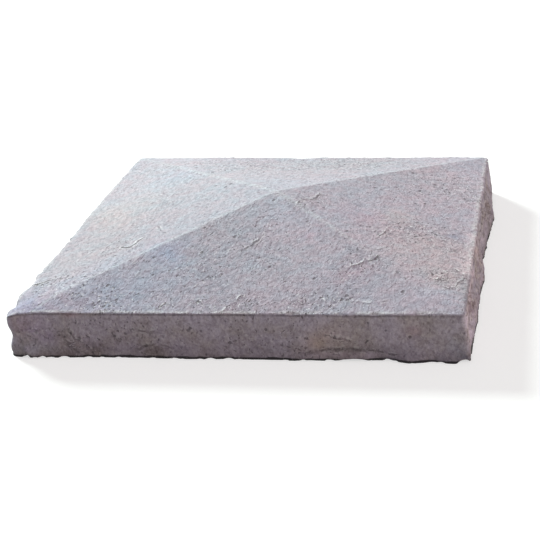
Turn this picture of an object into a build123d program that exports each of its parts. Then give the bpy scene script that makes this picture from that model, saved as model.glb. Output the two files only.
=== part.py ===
"""Peaked capstone for a square masonry pier: one block of cast stone.

The cap lies on its flat bed. Four hewn sides rise from the bed with a slight lean to a worn
eaves arris, and four shallow slopes climb from there to a low apex. The sides were pitched by
hand, so each is a gently hollowed and bulging face and not a plane, and a few flakes have been
knocked off the edges and corners.

Frame, in millimetres: origin at the middle of the bed, +Z up, X and Y square to the sides.
The sides run counterclockwise seen from above: front (-Y), right (+X), back (+Y), left (-X).
A place along a side is measured from the side's middle, in that same direction of travel.
A corner goes by the side that ends there: the front side ends at the front right corner.
"""

import math
import os

from build123d import *

# Plan and heights
bed_side = 614.0  # square plan at the foot; 24 in halfway up
edge_height = 64.0  # bed to eaves arris, 2 1/2 in
peak_rise = 55.5  # eaves arris to apex
side_lean = 5.0  # how far each side leans in between bed and arris

# The sides, and the corners that they end at: front right, back right, back left, front left
front, right, back, left = range(4)

# Worn edges
corner_radii = (10.0, 9.0, 10.0, 12.0)  # front right first
hip_radius = 60.0  # soft ridge between two slopes
arris_radius = 2.6  # eaves edge between a slope and a side
bed_edge_radius = 1.2  # crumbled edge round the bed

# Hand setting out: how far the cap strays from true
apex_drift = (9.5, -1.8)  # apex off the middle of the plan, along X and Y
side_skews = (-1.5, 0.0, 2.5, 0.5)  # how far each side turns out towards its far end
# How far each slope's two eaves corners are above the edge height, first and last on its side
slope_lifts = ((-1.5, -0.3), (0.6, -2.0), (-2.0, 6.8), (6.8, -4.2))

# Hewn relief: places where a side stands proud (+) or hollow (-) of its plane, each given as
# (place along the side, height above the bed, length, height of the place, proud).
hewn_places = (
    (
        (-265.0, 6.0, 110.0, 46.0, 3.4),
        (-262.0, 30.0, 60.0, 26.0, -1.8),
        (-120.0, 34.0, 120.0, 40.0, 1.2),
        (-60.0, 2.0, 60.0, 24.0, 1.6),
        (30.0, 18.0, 90.0, 26.0, -1.4),
        (150.0, 44.0, 110.0, 40.0, 1.4),
        (200.0, 0.0, 44.0, 24.0, -5.4),
        (238.0, 0.0, 40.0, 24.0, 3.4),
    ),
    (
        (-256.0, 34.0, 44.0, 30.0, -2.8),
        (-150.0, 10.0, 260.0, 60.0, 2.6),
        (-50.0, 10.0, 64.0, 54.0, 4.4),
        (10.0, 14.0, 36.0, 60.0, -3.4),
        (165.0, 8.0, 164.0, 60.0, 8.0),
        (90.0, 44.0, 60.0, 26.0, -2.6),
        (230.0, 40.0, 60.0, 28.0, -2.4),
    ),
    (
        (-220.0, 34.0, 70.0, 28.0, 2.8),
        (-110.0, 24.0, 60.0, 30.0, -3.4),
        (10.0, 30.0, 80.0, 26.0, 3.0),
        (120.0, 38.0, 54.0, 30.0, -2.6),
        (215.0, 22.0, 70.0, 30.0, 2.4),
    ),
    (
        (-230.0, 24.0, 60.0, 30.0, 2.6),
        (-150.0, 64.0, 230.0, 60.0, 3.6),
        (-26.0, 62.0, 120.0, 50.0, 3.0),
        (215.0, 60.0, 260.0, 60.0, 4.4),
        (-120.0, 20.0, 66.0, 28.0, -3.0),
        (0.0, 26.0, 90.0, 30.0, 3.2),
        (110.0, 26.0, 50.0, 30.0, -3.6),
        (222.0, 40.0, 40.0, 30.0, -2.6),
        (290.0, 32.0, 44.0, 26.0, -3.4),
    ),
)

# Flakes knocked off: shell-shaped hollows, each given as
# (side, place along it, height above the bed, blow angle above level, hollow's radius, depth).
eaves_flakes = (
    (left, 207.0, edge_height, 45.0, 70.0, 7.0),
    (left, 290.0, edge_height, 35.0, 20.0, 11.0),
    (right, 60.0, edge_height, 35.0, 60.0, 2.0),
)
bed_flakes = (
    (front, -281.0, 0.0, -50.0, 7.0, 6.4),
    (front, 162.0, 0.0, -65.0, 150.0, 3.2),
    (right, -6.0, 0.0, -40.0, 26.0, 4.0),
    (back, -150.0, 0.0, -35.0, 45.0, 3.0),
    (left, 90.0, 0.0, -35.0, 40.0, 3.2),
)

# Broken corners: (corner, height above the bed, blow angle above level, radius, depth).
corner_breaks = (
    (left, edge_height, 48.0, 30.0, 4.5),
    (back, edge_height, 40.0, 40.0, 4.0),
    (front, 0.0, -40.0, 24.0, 5.0),
    (left, 0.0, -20.0, 16.0, 3.6),
)

points_along_side = 27  # each hewn line is drawn through this many points
level_shares = (0.0, 0.25, 0.5, 0.75, 1.0, 1.25)  # heights of the hewn lines, in edge heights
tool_margin = 30.0  # cutting shapes reach this far past the block

outward = (Vector(0, -1), Vector(1, 0), Vector(0, 1), Vector(-1, 0))
half_side = bed_side / 2
apex = Vector(apex_drift[0], apex_drift[1], edge_height + peak_rise)


def relief(side, along, height):
    """How far the hewn face stands proud of its plane: a sum of soft bumps and hollows."""
    total = 0.0
    for place, level, length, tall, proud in hewn_places[side]:
        spread = ((along - place) / (length / 2)) ** 2 + ((height - level) / (tall / 2)) ** 2
        total += proud * math.exp(-spread)
    return total


def standoff(side, along, height):
    """Distance of the hewn face from the cap's upright axis."""
    lean = side_lean * height / edge_height
    skew = side_skews[side] * along / half_side
    return half_side - lean + skew + relief(side, along, height)


def face_point(side, along, height):
    """The point of a side's hewn face at a place along it and a height."""
    travel = outward[(side + 1) % 4]
    return outward[side] * standoff(side, along, height) + travel * along + Vector(0, 0, height)


def sharp_corner(corner, height):
    """Where two neighbouring sides would meet if the corner weren't worn."""
    after = (corner + 1) % 4
    plan = outward[corner] * standoff(corner, half_side, height)
    plan += outward[after] * standoff(after, -half_side, height)
    return plan + Vector(0, 0, height)


def hewn_outline(height):
    """The block's outline at one height: four hewn lines joined by quarter rounds."""
    shares = [i / (points_along_side - 1) for i in range(points_along_side)]
    edges = []
    for side in range(4):
        travel = outward[(side + 1) % 4]
        start = sharp_corner((side - 1) % 4, height) + travel * corner_radii[side - 1]
        end = sharp_corner(side, height) - travel * corner_radii[side]
        points = []
        for share in shares:
            reach = standoff(side, half_side * (2 * share - 1), height)
            along = start + (end - start) * share
            off_line = reach - along.dot(outward[side])
            points.append(along + outward[side] * off_line)
        edges.append(Edge.make_spline(points, [travel, travel], parameters=shares))
        round_end = end + (travel - outward[side]) * corner_radii[side]
        edges.append(Edge.make_tangent_arc(end, travel, round_end))
    return Wire(edges)


def hewn_block():
    """The four hewn sides as one upright block, tall enough to cut the slopes from."""
    heights = [share * edge_height for share in level_shares]
    heights.append(apex.Z + tool_margin)
    return Solid.make_loft([hewn_outline(height) for height in heights])


def slope_normal(side):
    """Upward normal of the slope through the apex and the two eaves corners of its side."""
    reach = half_side - side_lean
    travel = outward[(side + 1) % 4]
    first, last = slope_lifts[side]
    start = (outward[side] - travel) * reach + Vector(0, 0, edge_height + first)
    end = (outward[side] + travel) * reach + Vector(0, 0, edge_height + last)
    return (start - apex).cross(end - apex)


def hip_end(corner):
    """Where the hip towards a corner ends, past the block. It runs from the apex along the
    line that the slopes on its two sides share."""
    after = (corner + 1) % 4
    diagonal = outward[corner] + outward[after]
    hip = slope_normal(corner).cross(slope_normal(after))
    run = 2 * (half_side + tool_margin) - apex.dot(diagonal)
    return apex + hip * (run / hip.dot(diagonal))


def roof():
    """Everything under the four slopes: a low pyramid with soft hips, wider than the block."""
    eaves = [hip_end(corner) for corner in range(4)]
    feet = [Vector(point.X, point.Y, -tool_margin) for point in eaves]
    faces = [Face(Wire.make_polygon(feet))]
    for this in range(4):
        after = (this + 1) % 4
        slope = [eaves[this], eaves[after], apex]
        skirt = [feet[this], feet[after], eaves[after], eaves[this]]
        faces.append(Face(Wire.make_polygon(slope)))
        faces.append(Face(Wire.make_polygon(skirt)))
    pyramid = Solid(Shell(faces))
    at_apex = [vertex for vertex in pyramid.vertices() if (Vector(vertex) - apex).length < 0.01]
    hips = [edge for edge in pyramid.edges() if at_apex[0] in edge.vertices()]
    return pyramid.fillet(hip_radius, hips)


def hollow(point, direction, radius, depth):
    """A ball that bites a shell-shaped hollow of this depth where it meets the point."""
    return Solid.make_sphere(radius).moved(Location(point + direction * (radius - depth)))


def blow(level_direction, angle):
    """Unit direction that a flake came off in, from level out of the stone and tilted up."""
    tilt = math.radians(angle)
    return level_direction.normalized() * math.cos(tilt) + Vector(0, 0, math.sin(tilt))


def knocked_off():
    """All the hollows left by flakes and broken corners."""
    balls = []
    for side, along, height, angle, radius, depth in eaves_flakes + bed_flakes:
        point = face_point(side, along, height)
        balls.append(hollow(point, blow(outward[side], angle), radius, depth))
    for corner, height, angle, radius, depth in corner_breaks:
        diagonal = outward[corner] + outward[(corner + 1) % 4]
        point = sharp_corner(corner, height)
        balls.append(hollow(point, blow(diagonal, angle), radius, depth))
    return balls


def near_height(edge, height, reach):
    """True for an edge that runs round the block at about this height."""
    box = edge.bounding_box()
    return box.min.Z > height - reach and box.max.Z < height + reach


def capstone():
    """The whole cap: slopes cut from the hewn block, its edges worn, then its flakes taken."""
    cap = (hewn_block() & roof()).solids()[0]
    eaves_reach = edge_height / 6
    arris = [edge for edge in cap.edges() if near_height(edge, edge_height, eaves_reach)]
    cap = cap.fillet(arris_radius, arris)
    bed_edges = [edge for edge in cap.edges() if near_height(edge, 0.0, arris_radius)]
    cap = cap.fillet(bed_edge_radius, bed_edges)
    for ball in knocked_off():
        cap = (cap - ball).solids()[0]
    return cap


os.makedirs("parts", exist_ok=True)
export_step(capstone(), "parts/capstone.step")
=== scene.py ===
"""Peaked capstone for a square masonry pier: one block of weathered cast stone, 24 in square."""

import math

import bpy
import numpy as np
from mathutils import Matrix


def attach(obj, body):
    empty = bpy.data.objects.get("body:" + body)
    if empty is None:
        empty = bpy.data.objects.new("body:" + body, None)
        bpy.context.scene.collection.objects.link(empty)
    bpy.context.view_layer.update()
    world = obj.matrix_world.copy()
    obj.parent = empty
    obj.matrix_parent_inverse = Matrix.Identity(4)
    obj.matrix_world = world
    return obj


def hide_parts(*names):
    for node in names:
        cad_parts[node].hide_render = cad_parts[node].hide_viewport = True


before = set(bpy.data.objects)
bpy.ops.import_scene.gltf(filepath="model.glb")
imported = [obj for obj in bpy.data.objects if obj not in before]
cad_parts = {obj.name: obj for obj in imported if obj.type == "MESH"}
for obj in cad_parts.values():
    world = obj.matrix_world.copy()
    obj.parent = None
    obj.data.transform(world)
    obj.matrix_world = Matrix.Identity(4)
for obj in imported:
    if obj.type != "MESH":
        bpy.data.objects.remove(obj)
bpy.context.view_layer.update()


# Camera
# Stands in front of the cap and a little to its right, nearly two metres from its middle, and
# looks down on it by 23 degrees, a little tilted. Its lens is a short telephoto, unshifted.

stands_at = (0.408, -1.693, 0.743)
looks_left = math.radians(13.94)
looks_down = math.radians(23.34)
tilts = math.radians(5.49)

ahead = np.array(
    [
        -math.sin(looks_left) * math.cos(looks_down),
        math.cos(looks_left) * math.cos(looks_down),
        -math.sin(looks_down),
    ]
)
level_right = np.array([math.cos(looks_left), math.sin(looks_left), 0.0])
level_up = np.cross(level_right, ahead)
picture_right = level_right * math.cos(tilts) - level_up * math.sin(tilts)
picture_up = level_right * math.sin(tilts) + level_up * math.cos(tilts)

lens = bpy.data.cameras.new("camera")
lens.sensor_width = 36.0
lens.lens = 83.54
lens.clip_end = 100.0
camera = bpy.data.objects.new("camera", lens)
bpy.context.scene.collection.objects.link(camera)
stance = Matrix.Identity(4)
for row in range(3):
    stance[row][0] = picture_right[row]
    stance[row][1] = picture_up[row]
    stance[row][2] = -ahead[row]
    stance[row][3] = stands_at[row]
camera.matrix_world = stance
bpy.context.scene.camera = camera


# The cap: four hewn sides
# The block is cast stone: cement, sand and crushed stone, tinted grey and mauve, rammed in a
# mould. Its sides copy pitched stone, so each is hollowed and bulging, with rounded corners.
# Lengths are in millimetres. The sides run front, right, back, left; a place along a side is
# measured from its middle, counterclockwise seen from above.

mm_per_m = 1000.0
bed_side = 614.0
edge_height = 64.0
side_lean = 5.0
corner_radii = (5.0, 9.0, 10.0, 12.0)  # front right, back right, back left, front left
side_skews = (-1.5, 0.0, 2.5, 0.5)  # how far each side turns out towards its far end
half_side = bed_side / 2

# (place along the side, height, length, height of the place, how far it stands proud)
hewn_places = (
    (
        (-262, 30, 60, 26, -1.8), (-120, 34, 120, 40, 1.2), (30, 18, 90, 26, -1.4),
        (150, 44, 110, 40, 1.4), (-265, 6, 110, 46, 3.4), (-60, 2, 60, 24, 1.6),
        (270, 6, 80, 30, 1.6), (-284, 2, 34, 20, 4.4), (124, 0, 40, 20, -2.4),
        (200, 0, 44, 20, -5.4), (236, 0, 36, 20, 3), (264, 0, 20, 20, -3), (290, 0, 20, 20, 2),
    ),
    (
        (-256, 34, 44, 30, -2.8), (-150, 10, 260, 60, 2.6), (-50, 10, 64, 54, 4.4),
        (10, 14, 36, 60, -3.4), (172, 8, 160, 60, 7.8), (90, 44, 60, 26, -2.6),
        (230, 40, 60, 28, -2.4),
    ),
    (
        (-220, 34, 70, 28, 2.8), (-110, 24, 60, 30, -3.4), (10, 30, 80, 26, 3),
        (120, 38, 54, 30, -2.6), (160, 60, 60, 30, 3.4), (215, 22, 70, 30, 2.4),
    ),
    (
        (-230, 24, 60, 30, 2.6), (-150, 64, 230, 60, 4.8), (-26, 62, 120, 50, 3),
        (215, 60, 260, 60, 4.4), (254, 62, 26, 40, 2.4), (-120, 20, 66, 28, -3),
        (0, 26, 90, 30, 3.2), (110, 26, 50, 30, -3.6), (222, 40, 40, 30, -2.6),
        (298, 50, 34, 22, 2.8), (296, 27, 44, 22, -5.4), (298, 2, 30, 12, -4.4),
    ),
)

outward = np.array([(0, -1), (1, 0), (0, 1), (-1, 0)], float)
travel = np.roll(outward, -1, axis=0)


def standoff(side, along, height):
    """Distance of a side's face from the cap's upright axis: half the bed, less the lean,
    plus the skew, plus for each hewn place its proud times e to the minus squared distance
    from its middle, counted in half its length and half its height."""
    lean = side_lean * height / edge_height
    reach = half_side - lean + side_skews[side] * along / half_side
    for place, level, length, tall, proud in hewn_places[side]:
        spread = ((along - place) / (length / 2)) ** 2 + ((height - level) / (tall / 2)) ** 2
        reach = reach + proud * np.exp(-spread)
    return reach


def hewn_side(side, share, height):
    """Plan places on a side at shares 0 to 1 of the way from corner to corner. The way goes
    along half a corner's quarter round, the hewn line, and half the next quarter round."""
    before, after = (side - 1) % 4, (side + 1) % 4
    round_in, round_out = corner_radii[before], corner_radii[side]
    arc_in, arc_out = round_in * math.pi / 4, round_out * math.pi / 4
    reach_in = standoff(before, half_side, height)
    run = reach_in + standoff(after, -half_side, height)
    length = run - round_in - round_out + arc_in + arc_out
    path = share * length
    turn_in = np.clip(math.pi / 4 - path / round_in, 0, None)
    turn_out = np.clip(math.pi / 4 - (length - path) / round_out, 0, None)
    from_corner = path - arc_in + round_in
    from_corner = np.where(turn_in > 0, round_in * (1 - np.sin(turn_in)), from_corner)
    from_corner = np.where(turn_out > 0, run - round_out * (1 - np.sin(turn_out)), from_corner)
    along_line = (from_corner - round_in) / (run - round_in - round_out)
    along_line = half_side * (2 * np.clip(along_line, 0, 1) - 1)
    inset = round_in * (1 - np.cos(turn_in)) + round_out * (1 - np.cos(turn_out))
    out = standoff(side, along_line, height) - inset
    along = from_corner - reach_in
    return along[..., None] * travel[side] + out[..., None] * outward[side]


# The cap: four slopes and a low apex
# Four shallow slopes climb from the eaves to the apex, so that rain runs off. They meet in
# soft hips, as the mould leaves them.

peak_rise = 55.5
apex_drift = (9.5, -1.8)
hip_blend = 1.0  # height over which two slopes melt into each other
worn_hip_blend = 6.0  # how much wider the front left hip melts at its foot
worn_hip_reach = 60.0
# How far each slope's two eaves corners are above the edge height, first and last on its side
slope_lifts = ((-0.9, -0.2), (0.6, -2.0), (-2.0, 6.8), (6.8, -4.2))
apex_height = edge_height + peak_rise

eaves_plan = (outward + travel) * (half_side - side_lean) - np.array(apex_drift)
slope_tilts = [
    np.linalg.solve(eaves_plan[[side - 1, side]], np.array(slope_lifts[side]) - peak_rise)
    for side in range(4)
]


def slope_heights(plan):
    """Height of each of the four tilted planes through the apex, over these plan places."""
    from_apex = plan - np.array(apex_drift)
    return [apex_height + from_apex @ tilt for tilt in slope_tilts]


def soft_lower(one, other, blend):
    """The lower of two heights, less a quarter of the blend times the square of how near they
    are to each other, so that they meet in a round and not in a crease."""
    near = np.clip(1 - np.abs(one - other) / blend, 0, 1)
    return np.minimum(one, other) - near**2 * blend / 4


def nearness(plan, x, y, reach):
    """1 at a plan place, and e to the minus squared distance in reaches away from it."""
    return np.exp(-((plan - (x, y)) ** 2).sum(-1) / reach**2)


def roof_height(plan):
    """Height of the soft-hipped roof: the lowest of the four planes, blended. The front left
    hip is worn broad at its foot."""
    front, right, back, left = slope_heights(plan)
    at_worn_hip = nearness(plan, -half_side, -half_side, worn_hip_reach)
    blend = hip_blend + worn_hip_blend * at_worn_hip
    return soft_lower(soft_lower(front, back, blend), soft_lower(right, left, blend), blend)


# The cap: one closed grid
# Rings of places climb from the bed over its crumbled edge, up the sides and over the worn
# arris. A square grid covers the slopes inside the last ring, and a fan closes the bed.

places = 256  # along each side
side_rings = 23
bed_round = 1.0
arris_rounds = (1.1, 3.6, 2.4, 2.4)  # front, right, back, left
# The shares of the way round an edge at which its rows stand
arris_steps = (0.25, 0.5, 0.75, 1.0)
bed_steps = (0.0, 0.33, 0.66)
# How unevenly an edge is worn: (height of a swell, its length), and the least and most wear
arris_swells = ((0.7, 34.0), (0.4, 11.0))
arris_wear_range = (0.45, 2.2)
bed_swell = (1.1, 19.0)
bed_wear_range = (0.4, 2.4)

shares = np.arange(places) / places
round_trip = 4 * places


def ring(height):
    """Plan places round all four sides, one row of them for each row of heights."""
    sides = [
        hewn_side(side, shares, height[:, side * places : (side + 1) * places])
        for side in range(4)
    ]
    return np.concatenate(sides, axis=1)


def inward_of(plan):
    """Level unit direction into the stone: the way round, turned a quarter turn left."""
    way = np.roll(plan, -1, axis=1) - np.roll(plan, 1, axis=1)
    way = way / np.linalg.norm(way, axis=2, keepdims=True)
    return np.stack([-way[..., 1], way[..., 0]], axis=2)


def raised(plan, height):
    """Plan places with their heights beside them."""
    return np.concatenate([plan, np.broadcast_to(height[..., None], plan.shape[:2] + (1,))], 2)


def eased(start, sharp, end, steps):
    """A parabola from start to end that leaves and arrives pointing at the sharp edge."""
    step = np.array(steps)[:, None, None]
    return (1 - step) ** 2 * start + 2 * step * (1 - step) * sharp + step**2 * end


wave_gain = 1.6  # brings waves to about -1..1
scoop_jitter = 0.42  # how far a scoop's middle strays from its cube's middle, in cubes
noise_random = np.random.default_rng(24)
noise_order = np.tile(noise_random.permutation(256), 2)
noise_slopes = noise_random.normal(size=(256, 3))
noise_slopes /= np.linalg.norm(noise_slopes, axis=1, keepdims=True)


def lattice_pick(cell):
    """A number from 0 to 255 for each cube of a lattice, the same each time it is asked."""
    cell = cell & 255
    pick = noise_order[cell[..., 0]]
    pick = noise_order[(pick + cell[..., 1]) & 255]
    return noise_order[(pick + cell[..., 2]) & 255]


def waves(points, size):
    """Soft random waves between about -1 and 1, as long as size. At each corner of a cube
    lattice stands a random slope, and the eight slopes round a point are blended."""
    cell = np.floor(points / size).astype(int)
    part = points / size - cell
    blend = part**3 * (part * (part * 6 - 15) + 10)
    total = np.zeros(points.shape[:-1])
    for corner in np.ndindex(2, 2, 2):
        reach = (noise_slopes[lattice_pick(cell + corner)] * (part - corner)).sum(-1)
        total += reach * np.where(corner, blend, 1 - blend).prod(-1)
    return total * wave_gain


def swelling(points, *swells):
    """A sum of waves. Each swell is its height, its length and, where it must not line up
    with another one, how far it is shifted."""
    return sum(height * waves(points + sum(shift), size) for height, size, *shift in swells)


def scoops(points, size):
    """Shell-shaped hollows that meet in ridges: one less than the squared distance, in sizes,
    to the nearest of a set of points jittered about a cube lattice. 0 on ridges, 1 deep."""
    cell = np.floor(points / size).astype(int)
    part = points / size - cell
    nearest = np.full(points.shape[:-1], np.inf)
    for corner in np.ndindex(3, 3, 3):
        step = np.array(corner) - 1
        jitter = noise_slopes[lattice_pick(cell + step)] * scoop_jitter + 0.5
        nearest = np.minimum(nearest, ((step + jitter - part) ** 2).sum(-1))
    return np.clip(1 - nearest, 0, 1)


# The arris lies where the sides meet the roof, and a few rounds settle it
arris = np.full((1, round_trip), edge_height)
for _ in range(4):
    arris = roof_height(ring(arris))

arris_plan = ring(arris)
arris_places = raised(arris_plan, arris)
side_middles = np.array([-1, 0, 1, 2, 3, 4]) + 0.5
arris_round = np.interp(
    np.arange(round_trip) / places, side_middles, np.take(arris_rounds, (3, 0, 1, 2, 3, 0))
)
wear = 1 + swelling(arris_places, *arris_swells)
arris_wear = arris_round * np.clip(wear, *arris_wear_range)

on_slope = arris_plan + inward_of(arris_plan) * arris_wear[..., None]
slope_start = raised(on_slope, roof_height(on_slope))
side_top = raised(ring(arris - arris_wear), arris - arris_wear)
arris_rows = eased(side_top, arris_places, slope_start, arris_steps)

bed_line = np.zeros((1, round_trip))
bed_plan = ring(bed_line)
bed_places = raised(bed_plan, bed_line)
crumbled = bed_round * np.clip(1 + swelling(bed_places, bed_swell), *bed_wear_range)
bed_start = raised(bed_plan + inward_of(bed_plan) * crumbled[..., None], bed_line)
side_foot = raised(ring(crumbled), crumbled)
bed_rows = eased(bed_start, bed_places, side_foot, bed_steps)

climb = np.linspace(0, 1, side_rings)[:, None]
side_heights = crumbled + climb * (arris - arris_wear - crumbled)
side_rows = raised(ring(side_heights), side_heights)

rings = np.concatenate([bed_rows, side_rows, arris_rows])
rows = len(rings)

across = np.arange(places + 1) / places
edge = rings[-1, :, :2]
front_edge = edge[: places + 1]
right_edge = edge[places : 2 * places + 1]
back_edge = edge[3 * places - np.arange(places + 1)]
left_edge = edge[-np.arange(places + 1)]
# A patch over the four edges: what the front and back edges give, plus what the left and
# right edges give, less what their corners give twice
to_right, to_back = across[None, :, None], across[:, None, None]
to_left, to_front = 1 - to_right, 1 - to_back
slopes_plan = to_front * front_edge[None] + to_back * back_edge[None]
slopes_plan = slopes_plan + to_left * left_edge[:, None] + to_right * right_edge[:, None]
slopes_plan -= to_front * (to_left * front_edge[0] + to_right * front_edge[-1])
slopes_plan -= to_back * (to_left * back_edge[0] + to_right * back_edge[-1])
slopes_plan = slopes_plan[1:-1, 1:-1]
slopes = raised(slopes_plan, roof_height(slopes_plan))

stone = np.concatenate([rings.reshape(-1, 3), slopes.reshape(-1, 3), [(0.0, 0.0, 0.0)]])
bed_middle = len(stone) - 1

# Quads of the rings, quads of the slopes, and the bed's fan
place = np.arange(round_trip)
after = (place + 1) % round_trip
ring_start = np.arange(rows - 1)[:, None] * round_trip
ring_quads = np.stack(
    [
        ring_start + place,
        ring_start + after,
        ring_start + round_trip + after,
        ring_start + round_trip + place,
    ],
    axis=-1,
).reshape(-1, 4)

last = (rows - 1) * round_trip
grid = np.zeros((places + 1, places + 1), int)
grid[1:-1, 1:-1] = rows * round_trip + np.arange((places - 1) ** 2).reshape(places - 1, -1)
count = np.arange(places + 1)
grid[0, :] = last + count
grid[:, -1] = last + places + count
grid[-1, :] = last + 3 * places - count
grid[:, 0] = last + (round_trip - count) % round_trip
slope_quads = np.stack(
    [grid[:-1, :-1], grid[:-1, 1:], grid[1:, 1:], grid[1:, :-1]], axis=-1
).reshape(-1, 4)
quads = np.concatenate([ring_quads, slope_quads])
bed_fan = np.stack([np.full(round_trip, bed_middle), after, place], axis=-1)


# The cap: flakes knocked off
# Handling has knocked shell-shaped flakes off the arris, the bed's edge and two corners, and
# the arris is nibbled all along.

# (side, place along it, height, blow angle above level, hollow's radius, depth)
flakes = (
    (3, 207, edge_height, 45, 70, 7), (3, 165, edge_height, 40, 12, 4),
    (3, 272, edge_height, 38, 26, 9), (2, 6, edge_height, 60, 110, 2.4),
    (2, -165, edge_height, 60, 150, 2.4), (1, 60, edge_height, 35, 60, 2), (1, 84, 36, 8, 60, 3.6),
    (1, 136, 34, 4, 60, 3), (0, 84, edge_height, 62, 17, 2.4), (0, 95, edge_height, 60, 9, 1.6),
    (0, 144, edge_height, 62, 11, 1.8), (0, 190, edge_height, 60, 16, 2.2),
    (0, -2, 0, -55, 14, 2.2), (0, 162, 0, -65, 150, 3.2), (0, 302, 0, -45, 13, 6),
    (1, -6, 0, -40, 26, 4), (2, -150, 0, -35, 45, 3), (3, 90, 0, -35, 40, 3.2),
)
# (corner, height, blow angle above level, radius, depth)
corner_breaks = (
    (3, edge_height, 48, 30, 4.5), (2, edge_height, 40, 40, 4), (0, 0, -40, 24, 5),
    (3, 0, -20, 16, 3.6),
)
# Corners worn down round: (x, y, how far, reach)
worn_corners = (
    (-303, -270, 3, 16), (-305, -298, 5, 9), (302, 302, 2, 8),
)
# The notch through the front foot near the left corner
notch_lift, notch_place, notch_half = 7.5, -279.5, 4.2
notch_depth = 27.0  # how far in from the front it may run
notch_height = 16.0
# Nibbles on each side: how many on the arris and as many on the foot, and how deep the
# arris's deepest is
nibbles = ((60, 1.0), (34, 2.0), (34, 2.0), (34, 1.8))
# (radii, blow angles, least depth) of the arris's nibbles and of the foot's
arris_nibble = ((3.0, 16.0), (30.0, 60.0), 0.2)
foot_nibble = ((4.0, 14.0), (-50.0, -20.0), 0.3)
foot_deepest = 2.0
nibble_shares = (0.2, 1.0)  # squared, these are the shares of the deepest


def bite(point, level_out, angle, radius, depth):
    """Pushes what lies inside a ball out to the ball's surface, along the ball's radius. The
    ball stands off the point along the blow, so that it goes in by the depth."""
    tilt = math.radians(angle)
    blow = np.append(level_out / np.linalg.norm(level_out) * math.cos(tilt), math.sin(tilt))
    middle = point + blow * (radius - depth)
    away = stone - middle
    far = np.linalg.norm(away, axis=1)
    inside = far < radius
    stone[inside] = middle + away[inside] * (radius / far[inside])[:, None]


def side_point(side, along, height):
    """The point of a side's face at a place along it and a height."""
    plan = outward[side] * standoff(side, along, height) + travel[side] * along
    return np.append(plan, height)


for side, along, height, angle, radius, depth in flakes:
    bite(side_point(side, along, height), outward[side], angle, radius, depth)
for corner, height, angle, radius, depth in corner_breaks:
    reach = outward[corner] * standoff(corner, half_side, height)
    reach = reach + travel[corner] * standoff((corner + 1) % 4, -half_side, height)
    bite(np.append(reach, height), outward[corner] + travel[corner], angle, radius, depth)

# A worn corner sinks less lower down
for x, y, worn_down, reach in worn_corners:
    near = nearness(stone[:, :2], x, y, reach)
    stone[:, 2] -= worn_down * near * (stone[:, 2] / edge_height) ** 2

# At the notch the foot is lifted, less higher up
notch = notch_lift * np.exp(-(((stone[:, 0] - notch_place) / notch_half) ** 2))
notch *= stone[:, 1] < notch_depth - half_side
stone[:, 2] += notch * np.clip(1 - stone[:, 2] / notch_height, 0, 1)

nibble_random = np.random.default_rng(7)
for side, (many, arris_deepest) in enumerate(nibbles):
    on_edges = ((True, arris_deepest, arris_nibble), (False, foot_deepest, foot_nibble))
    for on_arris, deepest, (radii, angles, least) in on_edges:
        for along in nibble_random.uniform(-half_side, half_side, many):
            depth = deepest * nibble_random.uniform(*nibble_shares) ** 2 + least
            radius = nibble_random.uniform(*radii)
            angle = nibble_random.uniform(*angles)
            point = side_point(side, along, 0.0)
            if on_arris:
                nearest = round((along / bed_side + 0.5) * places) % places
                point = arris_places[0, nearest + side * places]
            bite(point, outward[side], angle, radius, depth)


# The cap: skin
# The cast skin is sandy and never quite flat. The slopes are rubbed nearly smooth, with a few
# low curved ledges where the skin lifted. The sides are scooped and ridged.

# By side, front first: how rough its skin is, and how coarse its finish
side_roughness = (0.45, 1.5, 1.3, 1.2)
side_coarseness = (0.3, 1.0, 1.0, 1.0)
# Swells of the skin: (height, length, shift)
slope_swells = ((0.45, 115.0), (0.22, 41.0), (0.08, 15.0, 500.0), (0.04, 7.0))
side_swells = ((0.9, 40.0), (0.5, 13.0, 300.0))
side_ripple = (0.22, 6.5)
scoop_depth, scoop_size, scoop_rim = 1.6, 30.0, 0.8
upright_squeeze = 1.7  # a side's scoops are this much shorter upright than along it
apex_worn, apex_reach = 1.2, 28.0
# The low lip along the front's foot, under an arch: its crown's height, how far it falls in
# half its length, and how far it stands proud
lip_crown, lip_fall, lip_proud, lip_edge = 17.4, 4.5, 2.4, 3.0
lip_middle, lip_half = 156.0, 45.0


def facing(points):
    """Unit normal at every point: the cross of each quad's diagonals, summed over the quads
    round the point."""
    cross = np.cross(
        points[quads[:, 2]] - points[quads[:, 0]], points[quads[:, 3]] - points[quads[:, 1]]
    )
    total = np.zeros_like(points)
    for axis in range(3):
        total[:, axis] = np.bincount(
            quads.ravel(), np.repeat(cross[:, axis], 4), minlength=len(points)
        )
    total[bed_middle] = (0, 0, -1)
    return total / np.linalg.norm(total, axis=1, keepdims=True)


normals = facing(stone)
# How much a point belongs to the slopes, to the sides, and to each of the four sides, by how
# far its normal points up
slopes_from, slopes_over, sides_drop = 0.25, 0.5, 1.6
up = np.clip((normals[:, 2] - slopes_from) / slopes_over, 0, 1)
side_on = np.clip(1 - np.abs(normals[:, 2]) * sides_drop, 0, 1)
side_shares = np.clip(normals[:, :2] @ outward.T, 0, 1) ** 2
on_side = side_shares * side_on[:, None]

# Rain has rounded the apex off
slope_skin = swelling(stone, *slope_swells)
slope_skin -= apex_worn * nearness(stone[:, :2], *apex_drift, apex_reach)
squeezed = stone * (1.0, 1.0, upright_squeeze)
side_skin = swelling(squeezed, *side_swells) + swelling(stone, side_ripple)
side_skin += scoop_rim - scoop_depth * scoops(squeezed, scoop_size)
lip_top = lip_crown - lip_fall * ((stone[:, 0] - lip_middle) / lip_half) ** 2
lip = lip_proud * np.clip((lip_top - stone[:, 2]) / lip_edge, 0, 1)
side_skin = side_skin * (side_shares @ side_roughness) + lip * side_shares[:, 0]
skin = slope_skin * up + side_skin * side_on

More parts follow.
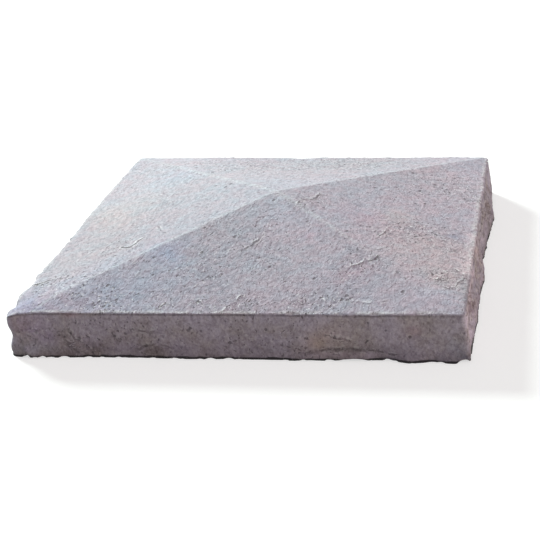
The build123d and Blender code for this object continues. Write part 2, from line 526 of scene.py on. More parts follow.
# Ledges, where the skin broke: how far it drops on the line's right-hand side, and the line
# through places on the slopes (x, y)
slope_ledges = (
    (1.2, (-194, -130), (-188, -134), (-181, -135), (-176, -126), (-174, -113), (-170, -107)),
    (1.4, (-304, -217), (-294, -216), (-286, -212), (-277, -209)),
    (0.4, (-277, -206), (-260, -209), (-247, -204)),
    (0.8, (48, -37), (50, -27), (54, -21)),
    (1.15, (57, -16), (66, -11), (71, 12)),
    (0.7, (-11, -160), (-4, -153), (2, -145), (8, -133), (12, -123)),
    (1.0, (-4, -296), (0, -287), (4, -281), (10, -270), (12, -264)),
    (0.8, (-92, -288), (-87, -282), (-80, -284)),
    (0.9, (-52, -279), (-45, -275), (-40, -279)),
    (0.9, (-186, -283), (-181, -278), (-170, -280)),
    (0.8, (148, -198), (158, -189), (170, -182), (182, -171)),
    (0.7, (173, -108), (178, -92), (180, -79)),
    (0.5, (156, -275), (175, -277), (192, -277), (201, -272)),
    (0.8, (257, -226), (262, -214), (266, -202)),
    (0.7, (268, -186), (276, -181), (284, -180)),
    (0.9, (283, -174), (290, -184), (294, -192)),
    (1.15, (286, -218), (290, -206), (294, -191), (296, -184)),
    (0.6, (272, -232), (277, -236), (283, -229)),
    (0.7, (266, -214), (272, -206)),
    (0.5, (241, -88), (246, -107)),
    (0.6, (270, -118), (276, -115), (281, -106)),
    (0.6, (-159, -68), (-146, -88), (-137, -99)),
    (0.5, (-66, -167), (-63, -160)),
    (0.4, (-99, -210), (-93, -203)),
    (0.4, (-144, -221), (-141, -210)),
    (0.4, (-156, -186), (-149, -176)),
    (0.5, (221, -86), (226, -80)),
    (0.5, (-227, -237), (-214, -238)),
    (0.4, (170, -156), (189, -137)),
)
# ... and on the front side (place along it, height)
front_ledges = (
    (0.6, (-119, 37), (-108, 38), (-98, 39), (-84, 41)),
    (0.6, (104, 11), (118, 14.5), (135, 17), (157, 17.6), (175, 16), (192, 13.5), (212, 10)),
    (0.45, (-124, 15), (-112, 18), (-100, 21), (-88, 20), (-78, 15)),
    (0.6, (-288, 37), (-270, 36), (-251, 39)),
    (0.6, (-226, 32), (-222, 25), (-214, 20)),
    (0.6, (-214, 35), (-210, 27), (-204, 24)),
    (0.7, (-222, 18), (-214, 12), (-206, 9)),
    (0.7, (135, 33), (147, 31), (158, 29)),
)
# ... and on the right side, the sharp lower edge of a scoop
right_ledges = (
    (1.0, (28, 60), (43, 49), (62, 38), (83, 27), (115, 17)),
    (0.6, (150, 58), (162, 46), (178, 40)),
)
# Small ledges strewn over the slopes, each a line through its two ends and a bend
small_ledges_many = 48
small_ledge_places = (-285, 285)  # both along X and along Y
small_ledge_ways = (-0.6, 1.7)  # from along X, in radians
small_ledge_halves = (2.0, 5.0)
small_ledge_bends = (-3.0, 3.0)
small_ledge_drops = (0.15, 0.45)
ledge_random = np.random.default_rng(11)
small_ledges = []
for _ in range(small_ledges_many):
    middle = ledge_random.uniform(*small_ledge_places, 2)
    way = ledge_random.uniform(*small_ledge_ways)
    half = ledge_random.uniform(*small_ledge_halves) * np.array([math.cos(way), math.sin(way)])
    bent = middle + ledge_random.uniform(*small_ledge_bends, 2)
    drop = ledge_random.uniform(*small_ledge_drops)
    small_ledges.append((drop, middle - half, bent, middle + half))


def off_line(points, line):
    """How far points lie off a line of straight stretches: the distance to the nearest
    stretch, with a minus on the line's left-hand side."""
    off = np.full(len(points), np.inf)
    for start, end in zip(line[:-1], line[1:]):
        run = end - start
        share = np.clip((points - start) @ run / (run @ run), 0, 1)
        gap = points - start - share[:, None] * run
        far = np.hypot(gap[:, 0], gap[:, 1])
        right_of = np.where(gap[:, 0] * run[1] > gap[:, 1] * run[0], 1, -1)
        off = np.where(far < np.abs(off), far * right_of, off)
    return off


# The skin swells over 4 mm up to a ledge's line and drops off it in 2 mm. The nearest ledge's
# distance and drop are kept for the finish, which paints shade in its crack and highlights beside
# it.
ledge_swell, ledge_run, ledge_share = 4.0, 2.0, 0.6
no_ledge_near = 12.0
ledge_off = np.full(len(stone), no_ledge_near)
ledge_drop = np.zeros(len(stone))
fraying_along = ((2.2, 12.0), (1.2, 5.5))
fraying_across = ((3.4, 12.0, 90.0), (1.2, 5.5, 90.0))
frayed = [swelling(stone, *swells) for swells in (fraying_along, fraying_across)]
frayed = np.stack(frayed, 1)
for flat, ledges, on in (
    (stone[:, :2], slope_ledges + tuple(small_ledges), up),
    (stone[:, [0, 2]], front_ledges, on_side[:, 0]),
    (stone[:, [1, 2]], right_ledges, on_side[:, 1]),
):
    for drop, *line in ledges:
        off = off_line(flat + frayed, np.array(line, float))
        steep = np.exp(-((np.clip(off, 0, None) / ledge_run) ** 2))
        swell = np.exp(np.clip(off, None, 0) / ledge_swell)
        skin += ledge_share * drop * steep * swell * on
        nearer = (np.abs(off) < np.abs(ledge_off)) & (on > 0.5)
        ledge_off[nearer] = off[nearer]
        ledge_drop[nearer] = drop

# Air holes that the mould left open: (x, y, radius) on the slopes, where rain has drawn them
# out down the fall
slope_holes = (
    (-20, 184, 3), (60, 252, 3), (67, 262, 3.4), (-130, 156, 3), (-165, 267, 2.4), (-81, 214, 2.2),
    (15, 101, 2.8), (-83, 56, 2.6), (-77, 66, 2.6), (-102, 70, 2), (2, 66, 2.2), (2, 119, 2.6),
    (63, 193, 2.2), (28, 273, 2.2), (7, 213, 2.2), (-74, 214, 1.8), (-161, 133, 1.8),
    (-36, 275, 2.2), (11, -29, 2.4), (-178, -242, 3), (-131, -176, 2.4), (-76, -102, 2.2),
    (-65, -164, 2.6), (-82, -150, 2), (-100, -207, 2), (-121, -217, 2.2), (-86, -219, 2.2),
    (-156, -274, 2.4), (-182, -287, 2), (-169, -289, 2.4), (-92, -288, 2.6), (-87, -282, 2.4),
    (-44, -279, 2.4), (-2, -98, 2), (-27, -125, 2.8), (19, -177, 2), (37, -198, 2), (64, -232, 2),
    (102, -225, 2.4), (70, -88, 2.4), (73, -57, 2.2), (129, -107, 2.4), (144, -81, 2),
    (157, -79, 2.2), (179, -88, 2.4), (178, -180, 2.6), (180, -172, 2.2), (150, -262, 2.6),
    (152, -271, 2.2), (145, -271, 2.8), (221, -253, 2.8), (132, -286, 2.4), (221, -86, 2.2),
    (222, 43, 2.6), (229, 129, 2.6), (210, 92, 2.4), (218, -35, 2), (257, -36, 2),
    (276, -111, 2.6), (144, 74, 2.2), (-262, -286, 2), (-183, -134, 2.2), (-192, -130, 2.2),
    (-290, -219, 2.4), (-283, -220, 2.4), (-276, -217, 2.4), (-266, -213, 1.8), (-259, -209, 2),
    (-250, -203, 2), (192, 165, 2.8),
)
# ... and (place along it, height, radius) on the front side, where they are round
front_holes = (
    (-204, 27, 2.8), (-154, 31, 2.4), (-139, 35, 2), (-53, 39, 1.8), (-50, 43, 2.2), (-36, 39, 2),
    (-112, 18, 2.6), (-94, 27, 1.8), (-32, 7, 1.8), (1, 23, 2.4), (50, 42, 2.2), (138, 33, 2.4),
    (233, 34, 2.2), (203, 43, 1.6), (-231, 31, 1.8), (-224, 29, 1.8), (-215, 34, 2),
    (300, 39, 1.8), (-264, 33, 1.8), (177, 26, 1.4),
)
drawn_out = 0.7  # a slope hole's width over its length
hole_mouth = 0.85  # a slope hole's mouth over its radius
no_hole_near = 6.0
hole_off = np.full(len(stone), no_hole_near)
for x, y, radius in slope_holes:
    off = np.hypot(stone[:, 0] - x, (stone[:, 1] - y) * drawn_out) - hole_mouth * radius
    hole_off = np.minimum(hole_off, np.where(up > 0.5, off, no_hole_near))
holes = [(*side_point(0, along, height), radius) for along, height, radius in front_holes]
# Small ones strewn over the sides: (how many, least radius, greatest radius)
strewn_holes = ((12, 1.2, 1.8), (46, 1.2, 2.4), (40, 1.2, 2.4), (40, 1.2, 2.4))
strewn_along, strewn_up = (-295, 295), (5, 58)
hole_random = np.random.default_rng(5)
for side, (many, least, greatest) in enumerate(strewn_holes):
    for along in hole_random.uniform(*strewn_along, many):
        middle = side_point(side, along, hole_random.uniform(*strewn_up))
        holes.append((*middle, hole_random.uniform(least, greatest)))
for x, y, z, radius in holes:
    hole_off = np.minimum(hole_off, np.sqrt(((stone - (x, y, z)) ** 2).sum(1)) - radius)

# How far a point lies below the arris on a side, or, with a minus, in from it on a slope
into_slopes = np.minimum(np.minimum(to_left, to_right), np.minimum(to_front, to_back))
into_slopes = into_slopes[1:-1, 1:-1]
far_off = 30.0
off_arris = np.concatenate(
    [
        (arris - rings[: -len(arris_steps), :, 2]).ravel(),
        (arris_wear * (1 - 2 * np.array(arris_steps)[:, None])).ravel(),
        -arris_wear.mean() - into_slopes.ravel() * bed_side,
        [far_off],
    ]
)
off_arris = np.clip(off_arris, -far_off, far_off)

# The arris itself is chipped finely, and the bed stays flat
chip_swells = ((0.9, 10.0, 40.0), (0.6, 5.0, 60.0))
chip_reach, chipped_back, bed_level = 3.0, 0.1, 0.05
chips = swelling(stone, *chip_swells) - chipped_back
skin += np.exp(-((off_arris / chip_reach) ** 2)) * chips
skin[stone[:, 2] < bed_level] = 0
stone += normals * skin[:, None]
stone[:, 2] = np.maximum(stone[:, 2], 0)

# How far the next slope's plane lies above a point, for the painted highlight along the hips.
# Hips lit by the key lamp on one side only have a minus on their unlit side: the front's and the
# right's.
planes = np.stack(slope_heights(stone[:, :2]))
lowest, second = planes.argsort(axis=0)[:2]
planes = np.sort(planes, axis=0)
unlit_hip_side = ((lowest == 0) & (second == 3)) | ((lowest == 1) & (second == 2))
off_hip = (planes[1] - planes[0]) * np.where(unlit_hip_side, -1, 1)
# Towards the two front corners the painted hip highlight fades: (x of the corner, how much, reach)
for x, fade, reach in ((-half_side, 8.0, 45.0), (half_side, 3.0, 200.0)):
    off_hip += fade * nearness(stone[:, :2], x, -half_side, reach)
far_off_hip = 12.0
off_hip = np.clip(off_hip, -far_off_hip, far_off_hip)

# The slopes are rubbed pale along the arris, but not at the right side's near end
unrubbed_end, unrubbed_fade = -200.0, 30.0
rubbed_by = np.clip((stone[:, 1] - unrubbed_end) / unrubbed_fade, 0, 1)
rubbed_by = np.where(lowest == 1, rubbed_by, 1.0)

# How far the sides darken towards the foot, and how coarse the pitched faces are
darker_foot_height, darker_foot_swell = 24.0, (12.0, 34.0)
towards_foot = darker_foot_height + swelling(stone, darker_foot_swell) - stone[:, 2]
towards_foot = np.clip(towards_foot / darker_foot_height, 0, 1) * side_on
coarse = on_side @ side_coarseness

# Open, rough patches on the slopes: (x, y, reach, how rough)
rough_patches = (
    (95, -282, 26, 0.9), (140, -272, 22, 1), (20, -290, 22, 0.7), (205, -60, 34, 0.8),
    (178, -96, 16, 1), (275, -205, 26, 1), (150, -185, 34, 0.6), (-40, -230, 60, 0.3),
    (-165, -285, 50, 0.6), (55, -20, 22, 0.8), (-20, -130, 60, 0.3), (250, -90, 40, 0.6),
    (250, 120, 70, 0.5), (-20, 230, 90, 0.6), (-140, 230, 80, 0.5), (-190, -130, 40, 0.4),
    (120, 250, 90, 0.6), (-262, -230, 50, 0.6),
)
usually_open, openness_swell = 0.25, (0.25, 60.0)
open_stone = usually_open + swelling(stone, openness_swell)
for x, y, reach, rough in rough_patches:
    open_stone += rough * nearness(stone[:, :2], x, y, reach)

# Pigment was stirred in unevenly. Each cloud: (x, y, reach, how it changes red, green, blue)
clouds = (
    (-150, 0, 190, 0.04, 0.07, 0.03), (-225, 190, 140, 0.22, 0.24, 0.18),
    (-255, -150, 80, 0.04, -0.01, -0.06), (100, -145, 45, 0.08, 0.07, 0.06),
    (120, 240, 120, -0.02, -0.01, -0.05), (270, 190, 70, 0.10, 0.05, 0.05),
    (0, 200, 120, 0.05, 0.06, 0.03), (180, 60, 150, 0.09, 0.07, 0.06),
    (-265, 30, 60, 0.07, 0.09, 0.03), (-281, -288, 34, -0.24, -0.24, -0.13),
    (-200, -275, 80, -0.05, -0.01, 0.05), (-112, -162, 26, -0.14, 0, 0.10),
    (-130, -215, 80, -0.05, 0.01, 0.04), (30, -75, 50, 0.10, 0.12, 0.13),
    (58, -205, 45, 0, 0.06, 0.05), (118, -40, 26, -0.01, -0.07, -0.05),
    (158, -48, 20, 0.04, -0.05, -0.03), (190, -25, 30, 0.09, 0.05, -0.02),
    (205, -105, 40, 0.08, -0.01, -0.03), (150, -212, 34, 0.03, -0.04, -0.03),
    (258, -130, 75, 0.12, 0.06, -0.01), (270, -210, 40, 0.05, 0, -0.06),
    (255, -250, 30, 0.06, 0.08, 0.10), (280, 130, 70, 0.12, 0.07, 0.04),
    (281, -66, 9, -0.16, -0.06, 0.02), (-251, -264, 22, 0.13, 0.05, 0.01),
    (-262, -202, 24, 0.06, 0.03, 0.02), (78, -121, 16, 0.05, -0.05, -0.02),
    (-187, 160, 50, -0.04, -0.01, 0.03), (-249, -22, 60, 0.03, 0, -0.03),
)
stirs = ((16.0, 45.0), (16.0, 45.0, 70.0))  # the swells that draw them along X and along Y
stirred = stone[:, :2] + np.stack([swelling(stone, swell) for swell in stirs], 1)
tint = np.ones((len(stone), 3))
for x, y, reach, red, green, blue in clouds:
    tint += (nearness(stirred, x, y, reach) * up)[:, None] * (red, green, blue)
# The right eaves are rubbed pale, and darker at their front end: (from, to, reach in from the
# arris, red, green, blue)
rubbed = (
    (-300.0, -200.0, 9.0, -0.16, -0.14, -0.16),
    (-190.0, -30.0, 13.0, 0.42, 0.36, 0.28),
    (-30.0, 170.0, 8.0, 0.24, 0.22, 0.18),
)
rubbed_fade = 20.0
for start, end, reach, red, green, blue in rubbed:
    inside = np.clip((stirred[:, 1] - start) / rubbed_fade, 0, 1)
    inside *= np.clip((end - stirred[:, 1]) / rubbed_fade, 0, 1)
    inside *= np.exp(-(((half_side - side_lean - stone[:, 0]) / reach) ** 2)) * up
    tint += inside[:, None] * (red, green, blue)
# The front's own stains, and one painted highlight: (along, height, half length, half height, red,
# green, blue)
front_stains = (
    (300, 32, 280, 90, 0.13, 0.14, 0.13), (-310, 32, 150, 90, -0.16, -0.18, -0.21),
    (-285, 48, 36, 16, 0.06, -0.02, 0.10), (-278, 38, 16, 3, -0.20, -0.24, -0.16),
    (-248, 28, 14, 7, -0.22, -0.28, -0.16), (-216, 20, 24, 8, -0.16, -0.19, -0.17),
    (-265, 13, 30, 7, -0.02, 0.09, 0.13), (-211, 61, 10, 4, 0.20, -0.02, -0.02),
    (-130, 14, 90, 8, -0.12, -0.13, -0.11), (-103, 39, 18, 3.5, -0.18, -0.19, -0.17),
    (-88, 14, 28, 6, -0.16, -0.18, -0.15), (-140, 7, 40, 3, 0.12, 0.16, 0.08),
    (60, 6.5, 50, 2.5, 0.18, 0.19, 0.16), (132, 36, 24, 18, 0.19, 0.11, 0.01),
    # Of the next two, the second, under the low lip, is a painted highlight that pales the lip's
    # face
    (112, 24, 14, 12, 0.15, 0.05, -0.10), (156, 9, 50, 5, 0.42, 0.36, 0.50),
    (231, 56, 13, 9, 0.06, 0.03, -0.10), (239, 42, 9, 8, 0.12, -0.04, -0.04),
    (290, 22, 12, 14, -0.05, 0.04, 0.06), (300, 4, 16, 12, -0.35, -0.25, -0.05),
)
stain_swell = (3.0, 14.0)
strayed = stone[:, 0] + swelling(stone, stain_swell)
for along, height, long, tall, red, green, blue in front_stains:
    spread = ((strayed - along) / long) ** 2 + ((stone[:, 2] - height) / tall) ** 2
    tint += (np.exp(-spread) * on_side[:, 0])[:, None] * (red, green, blue)
# The shade under the front's low lip
shade_dark, shade_half_height, shade_middle, shade_half = 0.5, 2.0, 160.0, 60.0
shade = np.exp(-(((stone[:, 2] - lip_top) / shade_half_height) ** 2)) * on_side[:, 0]
shade *= np.exp(-(((stone[:, 0] - shade_middle) / shade_half) ** 4))
tint *= 1 - shade_dark * shade[:, None]
# On the right side pale, tan, earthy and dark streaks sink towards the back, as the pitching
# tool went. The dark ones are damp and painted shade. What each kind does to red, green and
# blue, and where it lies: (along, height, half length, half height, how strong)
streak_fall = 0.43
streak_run_swell, streak_level_swell = (8.0, 16.0), (1.2, 7.0)
pale = (0.50, 0.45, 0.44)
tan = (0.60, 0.44, 0.32)
earthy = (-0.38, -0.46, -0.47)
damp_and_painted_shade = (-0.35, -0.35, -0.33)
streaks = {
    pale: (
        (-257, 29, 100, 15, 0.5), (172, 40, 120, 30, 0.1), (98, 25, 20, 2, 1.4),
        (107, 30, 39, 4, 0.4), (64, 28, 29, 2, 0.6), (37, 23, 34, 5, 0.9), (-20, 36, 24, 7, 0.5),
        (61, 19, 20, 3, 0.6), (-73, 34, 24, 5, 0.8), (-88, 19, 29, 8, 1), (-137, 26, 17, 2, 0.8),
        (-81, 9, 22, 5, 0.8), (-141, 14, 20, 7, 0.6), (-161, 13, 24, 7, 1), (-207, 21, 29, 5, 1.2),
        (-261, 53, 20, 8, 1.1), (-288, 54, 22, 8, 1.1), (-234, 26, 34, 5, 0.7),
        (-273, 30, 22, 10, 1), (-252, 18, 24, 10, 0.6), (-275, 14, 20, 10, 1),
    ),
    tan: (
        (-93, 56, 100, 17, 0.5), (-43, 62, 24, 8, 0.6), (-83, 58, 24, 8, 0.7),
        (-169, 59, 44, 8, 1), (-202, 61, 32, 7, 0.8), (-221, 52, 27, 12, 1),
    ),
    earthy: (
        (224, 34, 29, 7, 1.1), (153, 35, 24, 4, 1), (-32, 49, 24, 3, 0.7), (-58, 46, 29, 8, 0.7),
        (-101, 43, 27, 4, 1), (-111, 40, 24, 3, 0.7), (-128, 38, 22, 4, 0.6),
        (-171, 23, 27, 3, 0.9), (-214, 35, 32, 5, 1.6), (-231, 35, 24, 2.5, 1.5),
    ),
    damp_and_painted_shade: (
        (126, 56, 24, 3, 1.2), (87, 61, 22, 5, 1), (151, 21, 22, 5, 1.2), (53, 46, 27, 4, 1.6),
        (108, 20, 32, 3, 1.6), (44, 32, 44, 1.5, 1), (-135, 63, 22, 5, 0.8),
        (-137, 35, 24, 2, 1.2), (-109, 15, 24, 2, 1), (-161, 39, 22, 2.5, 1.2),
        (-287, 6, 24, 5, 0.7),
    ),
}
strayed_along = stone[:, 1] + swelling(stone, streak_run_swell)
strayed_up = stone[:, 2] + swelling(stone, streak_level_swell)
for change, places_of_it in streaks.items():
    for along, height, long, tall, strong in places_of_it:
        run = strayed_along - along
        level = strayed_up - height + streak_fall * run
        near = np.exp(-((run / long) ** 2) - (level / tall) ** 2) * on_side[:, 1]
        tint *= 1 + strong * near[:, None] * change
darkest, palest = 0.3, 2.2
tint = np.clip(tint, darkest, palest)

mesh = bpy.data.meshes.new("weathered_cap")
mesh.from_pydata((stone / mm_per_m).tolist(), [], quads.tolist() + bed_fan.tolist())
mesh.polygons.foreach_set("use_smooth", np.ones(len(mesh.polygons), bool))
fields = {
    "hewn": 1 - up,
    "coarse": coarse,
    "rubbed": rubbed_by,
    "towards_foot": towards_foot,
    "off_arris": off_arris,
    "off_hip": off_hip,
    "ledge_off": ledge_off,
    "ledge_drop": ledge_drop,
    "hole_off": hole_off,
    "open_stone": np.clip(open_stone, 0, 1.4),
}
for name, values in fields.items():
    layer = mesh.attributes.new(name, "FLOAT", "POINT")
    layer.data.foreach_set("value", values.astype(np.float32))
layer = mesh.attributes.new("tint", "FLOAT_COLOR", "POINT")
layer.data.foreach_set("color", np.insert(tint, 3, 1.0, axis=1).astype(np.float32).ravel())
mesh.update()
cap = bpy.data.objects.new("weathered_cap", mesh)
bpy.context.scene.collection.objects.link(cap)


# The cap: finish
# Cast stone, vibrated in a mould and left dull: a matt, sandy face with fine air holes. Its
# tint is a grey that wanders between blue, mauve and beige, browner on the hewn sides.

def linear(code):
    """A colour's sRGB hex code as linear red, green, blue and full cover."""
    parts = [int(code[place : place + 2], 16) / 255 for place in (1, 3, 5)]
    brights = [
        part / 12.92 if part <= 0.04045 else ((part + 0.055) / 1.055) ** 2.4 for part in parts
    ]
    return brights + [1.0]


def add(tree, kind, inputs, **settings):
    """Adds a node with its settings, and gives each input its value or the socket it reads."""
    made = tree.nodes.new("ShaderNode" + kind)
    for name, value in settings.items():
        setattr(made, name, value)
    for name, value in inputs.items():
        if isinstance(value, bpy.types.NodeSocket):
            tree.links.new(value, made.inputs[name])
        else:
            made.inputs[name].default_value = value
    return made


finish = bpy.data.materials.new("cast_stone_matt_sandy")
finish.use_nodes = True
tree = finish.node_tree
tree.nodes.clear()
place_on = add(tree, "TexCoord", {}).outputs["Object"]
height_on = add(tree, "SeparateXYZ", {0: place_on}).outputs[2]
field = {name: add(tree, "Attribute", {}, attribute_name=name).outputs["Fac"] for name in fields}
tint_on = add(tree, "Attribute", {}, attribute_name="tint").outputs["Color"]
# Sand and pores are drawn longer along Y, down the fall of the front slope, and a little
# longer upright. What the pitching tool left on the sides sinks by this slant, in radians,
# and is drawn out three times as long.
grain_squeeze = (1.0, 0.62, 0.85)
tool_slant, tool_draw = 0.406, 3.0
grain_on = {0: place_on, 1: grain_squeeze}
grain_on = add(tree, "VectorMath", grain_on, operation="MULTIPLY").outputs[0]
tooled = {"Rotation": (-tool_slant, 0.0, 0.0), "Scale": (1.0, tool_draw, 1.0)}
tooled_on = add(tree, "Mapping", {"Vector": place_on, **tooled}, vector_type="TEXTURE")
tooled_on = tooled_on.outputs[0]


def share_of(*factors):
    """How far something shows: all its factors multiplied together. A factor is a number, a
    socket, or (socket, low, high, start, end), which eases from start at low to end at high.
    Without its last two it eases from 0 to 1."""
    total = None
    for factor in factors:
        if isinstance(factor, tuple):
            value, low, high, start, end = (*factor, 0.0, 1.0)[:5]
            ends = {"From Min": low, "From Max": high, "To Min": start, "To Max": end}
            step = add(tree, "MapRange", {"Value": value, **ends}, interpolation_type="SMOOTHSTEP")
            factor = step.outputs["Result"]
        if total is None:
            total = factor
        else:
            total = add(tree, "Math", {0: total, 1: factor}, operation="MULTIPLY").outputs[0]
    return total


def drift(size, detail, low, high, rough=0.55, on=place_on):
    """Noise as large as size in millimetres, eased from low..high to 0..1."""
    noise = {"Vector": on, "Scale": mm_per_m / size, "Detail": detail, "Roughness": rough}
    return share_of((add(tree, "TexNoise", noise).outputs["Fac"], low, high))


# Grey that wanders between blue and mauve, a finer mottle, the browner pitched sides, and the
# dark grains, darker where the stone is open: (how far from one to the other, and the two).
# A colour mix goes by the numbers of its inputs: 0 the share, 6 the under and 7 the over.
grounds = (
    (drift(95, 3, 0.35, 0.65), "#bab7c8", "#bfb2c2"),
    (drift(17, 2, 0.35, 0.65), "#c0afba", "#b0b5c2"),
    (drift(48, 4, 0.4, 0.7), "#b1a7b6", "#a3989b"),
    (share_of((field["open_stone"], 0, 1.2)), "#d1ced2", "#b4b1b5"),
)
clouded, mottled, pitched, dark_grain = [
    add(tree, "Mix", {0: share, 6: linear(one), 7: linear(other)}, data_type="RGBA").outputs[2]
    for share, one, other in grounds
]

# The coarse sides show brown earth and pale scuffs, drawn out the way the tool went
earth = share_of(drift(9, 2, 0.52, 0.62, 0.6, tooled_on), field["coarse"], 0.7)
scuffs = share_of(drift(6, 2, 0.52, 0.64, 0.6, tooled_on), field["coarse"], 0.5)

# The arris is rubbed pale in places, and painted shade lies on the sides right under it
patchy = drift(22, 3, 0.36, 0.58)
off_arris_on = field["off_arris"]
rubbed_edge = share_of((off_arris_on, -12.0, -5.0), (off_arris_on, -0.8, 0.3, 1.0, 0.0))
rubbed_edge = share_of(rubbed_edge, patchy, 0.55, field["rubbed"])
painted_shade_under_arris = share_of((off_arris_on, 0.3, 1.0), (off_arris_on, 2.4, 4.5, 1.0, 0.0), field["hewn"])
painted_shade_under_arris = share_of(painted_shade_under_arris, (patchy, 0.0, 1.0, 0.5, 1.0), (field["coarse"], 0.3, 1.0, 0.5, 0.12))
# Painted highlight along the hips, on the side the key lamp lights
painted_hip_highlight = share_of((field["off_hip"], -0.4, 0.2), (field["off_hip"], 0.4, 2.2, 1.0, 0.0))
on_slopes = (field["hewn"], 0.0, 1.0, 1.0, 0.0)
painted_hip_highlight = share_of(painted_hip_highlight, (patchy, 0.0, 1.0, 0.2, 0.3), on_slopes)

# The sides darken towards the foot, and a black painted shadow along the bed wavers by a millimetre
darker_foot = share_of(field["towards_foot"], 0.42)
wavering = {0: patchy, 1: 0.0012, 2: height_on}
line_height = add(tree, "Math", wavering, operation="MULTIPLY_ADD").outputs[0]
painted_bed_shadow = share_of((line_height, 0.0036, 0.0052, 1.0, 0.0), (field["coarse"], 0.0, 0.2), 0.95)

# Sand grains and a coarser crust. Real grains of half a millimetre are too fine to show, so
# these are 3 and 6 mm across.
sand = drift(3.2, 1, 0.30, 0.70, 0.6, grain_on)
crust = drift(6.0, 2, 0.34, 0.64, 0.72, grain_on)
# How much of each goes into the grain's colour, and into its height
grain, grain_height = [
    add(tree, "Math", {0: share_of(sand, one), 1: share_of(crust, other)}).outputs[0]
    for one, other in ((0.5, 0.5), (0.4, 0.6))
]
less_on_sides = (field["hewn"], 0.0, 1.0, 1.0, 0.35)
more_where_open = (field["open_stone"], 0, 1.2, 0.12, 0.65)
pale_grains = share_of(drift(3.4, 1, 0.62, 0.72, 0.6, grain_on), less_on_sides, more_where_open)

# Pores all over, more of them where the stone is open, and the larger air holes
pores = share_of(drift(4.0, 1, 0.63, 0.70, 0.6, grain_on), (field["open_stone"], 0, 1.0, 0.25, 1.0))
air_holes = share_of((field["hole_off"], -0.6, 0.8, 1.0, 0.0), 0.85)
# Pits are drawn dark as painted shade, and are also sunk by the bump below
pit_depth_and_shade = add(tree, "Math", {0: pores, 1: air_holes}, operation="MAXIMUM").outputs[0]

# Painted highlights lie pale on both sides of a ledge's line, and painted shade darkens the crack
# between them. Only the deepest run on whole.
broken = drift(6, 2, 0.44, 0.58, 0.6, grain_on)
whole = share_of((field["ledge_drop"], 1.0, 1.3))
unbroken = add(tree, "Math", {0: broken, 1: whole}, operation="MAXIMUM").outputs[0]
ledge_on = share_of((field["ledge_drop"], 0.0, 0.9), unbroken)
off_ledge = field["ledge_off"]
highlight_left_of_ledge = share_of((off_ledge, -5.0, -3.0), (off_ledge, -2.0, -1.0, 1.0, 0.0), 0.5)
highlight_right_of_ledge = share_of((off_ledge, 1.6, 2.6), (off_ledge, 3.2, 5.0, 1.0, 0.0), 0.4)
painted_ledge_highlights = add(tree, "Math", {0: highlight_left_of_ledge, 1: highlight_right_of_ledge}).outputs[0]
painted_ledge_highlights = share_of(painted_ledge_highlights, ledge_on, less_on_sides)
painted_crack_shade = share_of((off_ledge, -2.0, -0.7), (off_ledge, 1.0, 2.6, 1.0, 0.0), ledge_on, 0.75)

# What the grains multiply the colour by, from the darkest of them to white
on_sides = {0: field["hewn"], 6: dark_grain, 7: linear("#cecbcd")}
dark_grain = add(tree, "Mix", on_sides, data_type="RGBA").outputs[2]
grain_tones = {0: grain, 6: dark_grain, 7: linear("#ffffff")}
grain_tone = add(tree, "Mix", grain_tones, data_type="RGBA").outputs[2]

# The coats of colour from the stone up: (how much shows, its colour, how it lies on)
coats = (
    (0.35, mottled, "MIX"),
    (field["hewn"], pitched, "MIX"),
    (1.0, tint_on, "MULTIPLY"),
    (earth, linear("#66544e"), "MIX"),
    (scuffs, linear("#ddd2cd"), "MIX"),
    (rubbed_edge, linear("#e2dfe2"), "MIX"),
    (painted_shade_under_arris, linear("#3b3338"), "MIX"),
    (painted_hip_highlight, linear("#e4ecf0"), "MIX"),
    (darker_foot, linear("#4d4449"), "MIX"),
    (painted_bed_shadow, linear("#0d0b0d"), "MIX"),
    (1.0, grain_tone, "MULTIPLY"),
    (pale_grains, linear("#eeecf0"), "MIX"),
    (share_of(pit_depth_and_shade, 0.75), linear("#4a4347"), "MIX"),
    (painted_ledge_highlights, linear("#f0eff3"), "MIX"),
    (painted_crack_shade, linear("#4b4448"), "MIX"),
)
colour = clouded
for share, coat, how in coats:
    laid = {0: share, 6: colour, 7: coat}
    colour = add(tree, "Mix", laid, data_type="RGBA", blend_type=how).outputs[2]

# Grains stand up by half a millimetre, less on the sides, and pits go in by one
strength = share_of((field["hewn"], 0.0, 1.0, 1.0, 0.6))
standing = {"Strength": strength, "Distance": 0.0005, "Height": grain_height}
bumps = add(tree, "Bump", standing).outputs[0]
sunk = {"Strength": 1.0, "Distance": 0.0010, "Height": pit_depth_and_shade, "Normal": bumps}
bumps = add(tree, "Bump", sunk, invert=True).outputs[0]

shading = {"Base Color": colour, "Roughness": 0.93, "IOR": 1.5, "Normal": bumps}
surface = add(tree, "BsdfPrincipled", shading)
add(tree, "OutputMaterial", {"Surface": surface.outputs[0]})

mesh.materials.append(finish)
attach(cap, "root")
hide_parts("capstone")


# Floor and light
# A plain pale studio floor, and soft light from the back left that rakes over the slopes. A
# weaker and much broader light from the right fills the sides.

floor_reach = 30.0  # metres each way
floor_corners = [(-1, -1), (1, -1), (1, 1), (-1, 1)]
floor_corners = [(x * floor_reach, y * floor_reach, 0.0) for x, y in floor_corners]
floor_mesh = bpy.data.meshes.new("floor")
floor_mesh.from_pydata(floor_corners, [], [(0, 1, 2, 3)])
floor = bpy.data.objects.new("floor", floor_mesh)
bpy.context.scene.collection.objects.link(floor)


def seen_outright(tree):
    """1 on the rays that show a surface itself, from the camera or by way of gloss or glass,
    and 0 on those that light the cap."""
    rays = add(tree, "LightPath", {}).outputs
    shown = rays["Is Camera Ray"]
    for other in ("Is Glossy Ray", "Is Transmission Ray"):
        shown = add(tree, "Math", {0: shown, 1: rays[other]}, operation="MAXIMUM").outputs[0]
    return shown


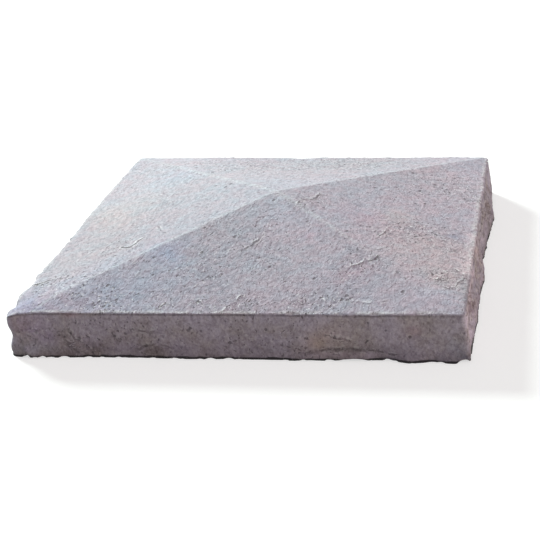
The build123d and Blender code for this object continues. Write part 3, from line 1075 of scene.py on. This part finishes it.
# The floor glows as well as it is lit, so that it shows white but for the cap's shadow
floor_glow = 0.6
paint = bpy.data.materials.new("studio_floor_paint")
paint.use_nodes = True
tree = paint.node_tree
tree.nodes.clear()
matt = add(tree, "BsdfDiffuse", {"Color": linear("#c8c8c8")})
glow_on = {0: seen_outright(tree), 1: floor_glow}
glow_on = add(tree, "Math", glow_on, operation="MULTIPLY").outputs[0]
glow = add(tree, "Emission", {"Color": linear("#ffffff"), "Strength": glow_on})
both = add(tree, "AddShader", {0: matt.outputs[0], 1: glow.outputs[0]})
add(tree, "OutputMaterial", {"Surface": both.outputs[0]})
floor_mesh.materials.append(paint)

# The sky shows white, and lights the cap at less
sky_light, sky_shown = 0.3, 1.0
world = bpy.data.worlds.new("studio")
bpy.context.scene.world = world
world.use_nodes = True
tree = world.node_tree
tree.nodes.clear()
strength = {"Value": seen_outright(tree), "To Min": sky_light, "To Max": sky_shown}
strength = add(tree, "MapRange", strength).outputs["Result"]
sky = add(tree, "Background", {"Color": linear("#fffafa"), "Strength": strength})
add(tree, "OutputWorld", {"Surface": sky.outputs[0]})


lamps_off = 4.0  # metres; their light is as strong at any distance


def lamp(name, energy, hue, spread, toward):
    """A soft lamp: its light comes from this direction, spread over this many degrees."""
    light = bpy.data.lights.new(name, "SUN")
    light.energy = energy
    light.color = linear(hue)[:3]
    light.angle = math.radians(spread)
    stand = bpy.data.objects.new(name, light)
    bpy.context.scene.collection.objects.link(stand)
    toward = np.array(toward) / np.linalg.norm(toward)
    lamp_right = np.cross((0.0, 0.0, 1.0), toward)
    lamp_right /= np.linalg.norm(lamp_right)
    axes = (lamp_right, np.cross(toward, lamp_right), toward, toward * lamps_off)
    aim = Matrix.Identity(4)
    for column, axis in enumerate(axes):
        for row in range(3):
            aim[row][column] = axis[row]
    stand.matrix_world = aim


lamp("key", energy=6.2, hue="#f1fff8", spread=18, toward=(-0.66, 0.66, 0.40))
lamp("fill", energy=1.7, hue="#fff2ea", spread=50, toward=(0.95, -0.28, 0.15))

bpy.context.scene.view_settings.view_transform = "Standard"
